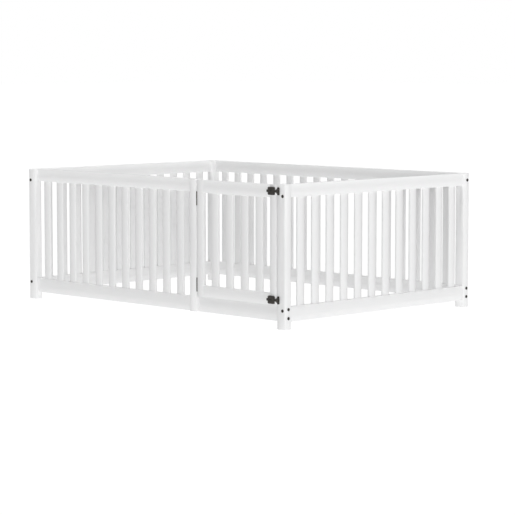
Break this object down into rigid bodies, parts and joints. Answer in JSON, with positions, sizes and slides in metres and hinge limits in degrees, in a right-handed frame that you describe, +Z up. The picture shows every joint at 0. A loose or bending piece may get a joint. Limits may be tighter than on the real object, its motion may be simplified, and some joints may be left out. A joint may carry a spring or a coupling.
{
  "type": "pet playpen",
  "caption": "Rectangular slatted wooden pet playpen with corner posts, connector bolts and a hinged gate held by two slide latches.",
  "frame": {"origin": "on the floor, under the middle of the pen's whole box", "axes": "+X along the long side, towards the gate's end when seen from the front; +Y from front to back; +Z up"},
  "size_m": [1.8256, 1.3072, 0.66],
  "materials": {
    "white_paint": "satin white paint on solid wood",
    "black_hardware": "satin black coated steel",
    "black_bolt": "black oxide steel"
  },
  "bodies": {
    "pen": {"back_left_end_bolt_low": "black_bolt", "back_left_end_bolt_middle": "black_bolt", "back_left_end_bolt_top": "black_bolt", "back_left_post": "white_paint", "back_right_end_bolt_low": "black_bolt", "back_right_end_bolt_middle": "black_bolt", "back_right_end_bolt_top": "black_bolt", "back_right_post": "white_paint", "back_slatted_bottom_rail": "white_paint", "back_top_rail": "white_paint", "front_bottom_rail": "white_paint", "front_left_end_bolt_low": "black_bolt", "front_left_end_bolt_middle": "black_bolt", "front_left_end_bolt_top": "black_bolt", "front_left_face_bolt_low": "black_bolt", "front_left_face_bolt_top": "black_bolt", "front_left_post": "white_paint", "front_right_end_bolt_low": "black_bolt", "front_right_end_bolt_middle": "black_bolt", "front_right_face_bolt_low": "black_bolt", "front_right_face_bolt_top": "black_bolt", "front_right_post": "white_paint", "front_slat_01": "white_paint", "front_slat_02": "white_paint", "front_slat_03": "white_paint", "front_slat_04": "white_paint", "front_slat_05": "white_paint", "front_slat_06": "white_paint", "front_slat_07": "white_paint", "front_slat_08": "white_paint", "front_slat_09": "white_paint", "front_slat_10": "white_paint", "front_slat_11": "white_paint", "front_top_rail": "white_paint", "gate_jamb_post": "white_paint", "gate_sill_rail": "white_paint", "left_slatted_bottom_rail": "white_paint", "left_top_rail": "white_paint", "lower_hinge_pin": "black_hardware", "lower_hinge_post_leaf": "black_hardware", "lower_latch_keeper": "black_hardware", "right_slatted_bottom_rail": "white_paint", "right_top_rail": "white_paint", "upper_hinge_pin": "black_hardware", "upper_hinge_post_leaf": "black_hardware", "upper_latch_keeper": "black_hardware"},
    "gate": {"gate_bottom_rail": "white_paint", "gate_hinge_stile": "white_paint", "gate_latch_stile": "white_paint", "gate_slat_01": "white_paint", "gate_slat_02": "white_paint", "gate_slat_03": "white_paint", "gate_slat_04": "white_paint", "gate_top_rail": "white_paint", "upper_hinge_gate_leaf": "black_hardware", "lower_hinge_gate_leaf": "black_hardware", "upper_latch_case": "black_hardware", "lower_latch_case": "black_hardware"},
    "upper_bolt": {"upper_latch_bolt": "black_hardware"},
    "lower_bolt": {"lower_latch_bolt": "black_hardware"}
  },
  "joints": [
    {"name": "gate_swing", "type": "hinge", "parent": "pen", "child": "gate", "pos_m": [0.33, -0.63835, 0.36], "axis": [0, 0, -1], "range_deg": [0, 110]},
    {"name": "upper_latch_slide", "type": "slide", "parent": "gate", "child": "upper_bolt", "axis": [1, 0, 0], "range_m": [0, 0.012]},
    {"name": "lower_latch_slide", "type": "slide", "parent": "gate", "child": "lower_bolt", "axis": [1, 0, 0], "range_m": [0, 0.012]}
  ]
}
